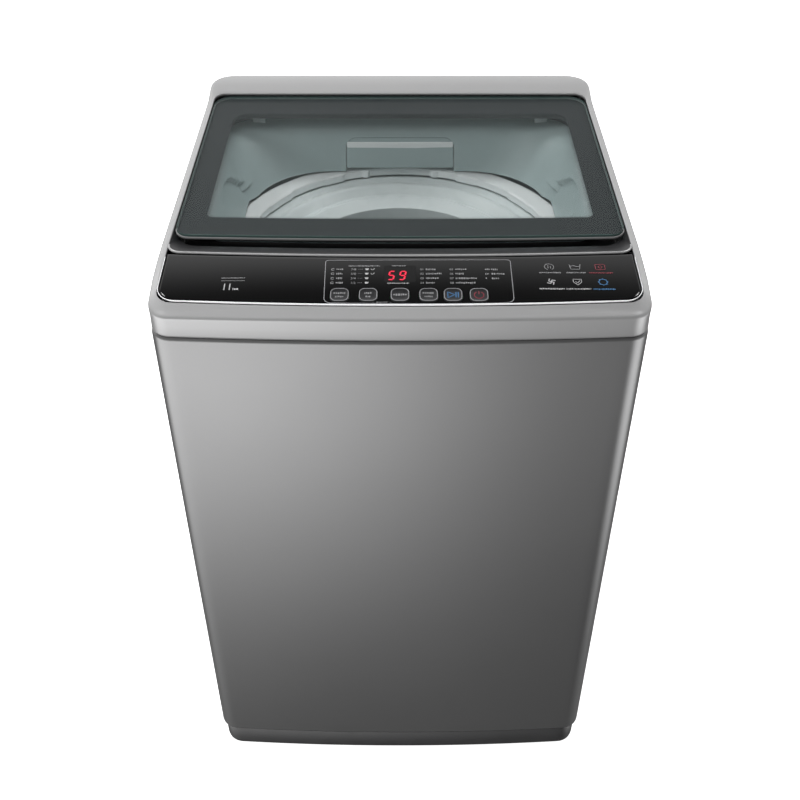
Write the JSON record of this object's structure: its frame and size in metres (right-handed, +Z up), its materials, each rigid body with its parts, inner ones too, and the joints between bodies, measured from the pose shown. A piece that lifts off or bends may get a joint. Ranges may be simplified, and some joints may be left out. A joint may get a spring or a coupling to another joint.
{
  "type": "top load washing machine",
  "caption": "Top load washing machine: grey cabinet, silver top with a hinged glass lid and a sloping black control panel in front, spin basket and pulsator inside.",
  "frame": {"origin": "on the floor at the centre of the footprint", "axes": "+Z up; front, with the control panel, towards -Y; +X to the right seen from the front"},
  "size_m": [0.6, 0.635, 0.9419],
  "materials": {
    "cabinet_paint": "metallic grey powder coat",
    "silver_plastic": "silver painted",
    "gloss_black": "high gloss",
    "matte_black": "satin",
    "dark_plastic": "matte",
    "grey_plastic": "satin",
    "white_plastic": "satin",
    "chrome_trim": "bright",
    "glass": "clear toughened",
    "stainless": "brushed",
    "zinc_steel": "zinc plated",
    "aluminium": "cast",
    "rubber": "matte",
    "board_green": "solder resist",
    "display_red": "tinted clear",
    "button_grey": "satin"
  },
  "bodies": {
    "cabinet": {"cabinet_shell": "cabinet_paint", "rear_panel": "zinc_steel", "base_frame": "dark_plastic", "foot_rear_left": "rubber", "foot_rear_right": "rubber", "top_cover": "silver_plastic", "lid_surround": "matte_black", "inner_collar": "grey_plastic", "control_fascia": "gloss_black", "fascia_trim": "chrome_trim", "display_window": "display_red", "control_board": "board_green", "board_tray": "dark_plastic", "drawer_housing": "white_plastic", "inlet_valve": "white_plastic", "inlet_hose": "rubber", "level_sensor": "white_plastic", "drain_pipe": "dark_plastic", "drain_bellows": "rubber", "cord_gland": "rubber", "hinge_pin_left": "zinc_steel", "hinge_pin_right": "zinc_steel", "rod_front_left": "zinc_steel", "rod_front_right": "zinc_steel", "rod_rear_left": "zinc_steel", "rod_rear_right": "zinc_steel", "spring_front_left": "zinc_steel", "spring_front_right": "zinc_steel", "spring_rear_left": "zinc_steel", "spring_rear_right": "zinc_steel"},
    "front_foot_left": {"foot_front_left": "rubber"},
    "front_foot_right": {"foot_front_right": "rubber"},
    "lid": {"lid_glass": "glass", "lid_frame": "matte_black"},
    "drawer": {"detergent_drawer": "grey_plastic"},
    "tub": {"outer_tub": "white_plastic", "tub_ring": "white_plastic", "gear_case": "aluminium", "support_plate": "zinc_steel", "motor": "zinc_steel", "drive_belt": "rubber", "drain_valve": "white_plastic", "drain_retractor": "dark_plastic"},
    "basket": {"basket_drum": "stainless", "balance_ring": "grey_plastic", "basket_base": "grey_plastic", "basket_hub": "aluminium", "lint_filter_left": "white_plastic", "lint_filter_right": "white_plastic"},
    "agitator": {"pulsator": "grey_plastic", "pulsator_bolt": "stainless", "pulsator_shaft": "zinc_steel"},
    "driven_wheel": {"drive_pulley": "aluminium"},
    "motor_wheel": {"motor_pulley": "aluminium"},
    "key_process": {"button_process": "button_grey"},
    "key_level": {"button_level": "button_grey"},
    "key_program": {"button_program": "button_grey"},
    "key_speed": {"button_speed": "button_grey"},
    "key_start": {"button_start": "button_grey"},
    "key_power": {"button_power": "button_grey"}
  },
  "joints": [
    {"name": "lid_hinge", "type": "hinge", "parent": "cabinet", "child": "lid", "pos_m": [0, 0.2265, 0.921], "axis": [-1, 0, 0], "range_deg": [0, 100]},
    {"name": "drawer_slide", "type": "slide", "parent": "cabinet", "child": "drawer", "axis": [0, -1, 0], "range_m": [0, 0.07]},
    {"name": "tub_suspension", "type": "slide", "parent": "cabinet", "child": "tub", "axis": [0, 0, 1], "range_m": [-0.02, 0], "stiffness_N_per_m": 9000, "springref_m": 0.045, "deforming": ["spring_front_left", "spring_front_right", "spring_rear_left", "spring_rear_right", "drain_bellows"]},
    {"name": "basket_spin", "type": "hinge", "parent": "tub", "child": "basket", "pos_m": [0, 0, 0.25], "axis": [0, 0, 1], "continuous": true},
    {"name": "pulsator_spin", "type": "hinge", "parent": "tub", "child": "agitator", "pos_m": [0, 0, 0.25], "axis": [0, 0, 1], "continuous": true},
    {"name": "drive_pulley_spin", "type": "hinge", "parent": "tub", "child": "driven_wheel", "pos_m": [0, 0, 0.1], "axis": [0, 0, 1], "continuous": true},
    {"name": "motor_pulley_spin", "type": "hinge", "parent": "tub", "child": "motor_wheel", "pos_m": [0.12, -0.12, 0.1], "axis": [0, 0, 1], "continuous": true},
    {"name": "foot_front_left_adjust", "type": "slide", "parent": "cabinet", "child": "front_foot_left", "axis": [0, 0, -1], "range_m": [0, 0.012]},
    {"name": "foot_front_right_adjust", "type": "slide", "parent": "cabinet", "child": "front_foot_right", "axis": [0, 0, -1], "range_m": [0, 0.012]},
    {"name": "button_process_press", "type": "slide", "parent": "cabinet", "child": "key_process", "axis": [0, 0.1483, -0.9889], "range_m": [0, 0.0012], "stiffness_N_per_m": 400, "springref_m": -0.001},
    {"name": "button_level_press", "type": "slide", "parent": "cabinet", "child": "key_level", "axis": [0, 0.1483, -0.9889], "range_m": [0, 0.0012], "stiffness_N_per_m": 400, "springref_m": -0.001},
    {"name": "button_program_press", "type": "slide", "parent": "cabinet", "child": "key_program", "axis": [0, 0.1483, -0.9889], "range_m": [0, 0.0012], "stiffness_N_per_m": 400, "springref_m": -0.001},
    {"name": "button_speed_press", "type": "slide", "parent": "cabinet", "child": "key_speed", "axis": [0, 0.1483, -0.9889], "range_m": [0, 0.0012], "stiffness_N_per_m": 400, "springref_m": -0.001},
    {"name": "button_start_press", "type": "slide", "parent": "cabinet", "child": "key_start", "axis": [0, 0.1483, -0.9889], "range_m": [0, 0.0012], "stiffness_N_per_m": 400, "springref_m": -0.001},
    {"name": "button_power_press", "type": "slide", "parent": "cabinet", "child": "key_power", "axis": [0, 0.1483, -0.9889], "range_m": [0, 0.0012], "stiffness_N_per_m": 400, "springref_m": -0.001}
  ],
  "couplings": [
    {"joint": "drive_pulley_spin", "follows": "pulsator_spin", "ratio": 1},
    {"joint": "motor_pulley_spin", "follows": "pulsator_spin", "ratio": 3}
  ]
}
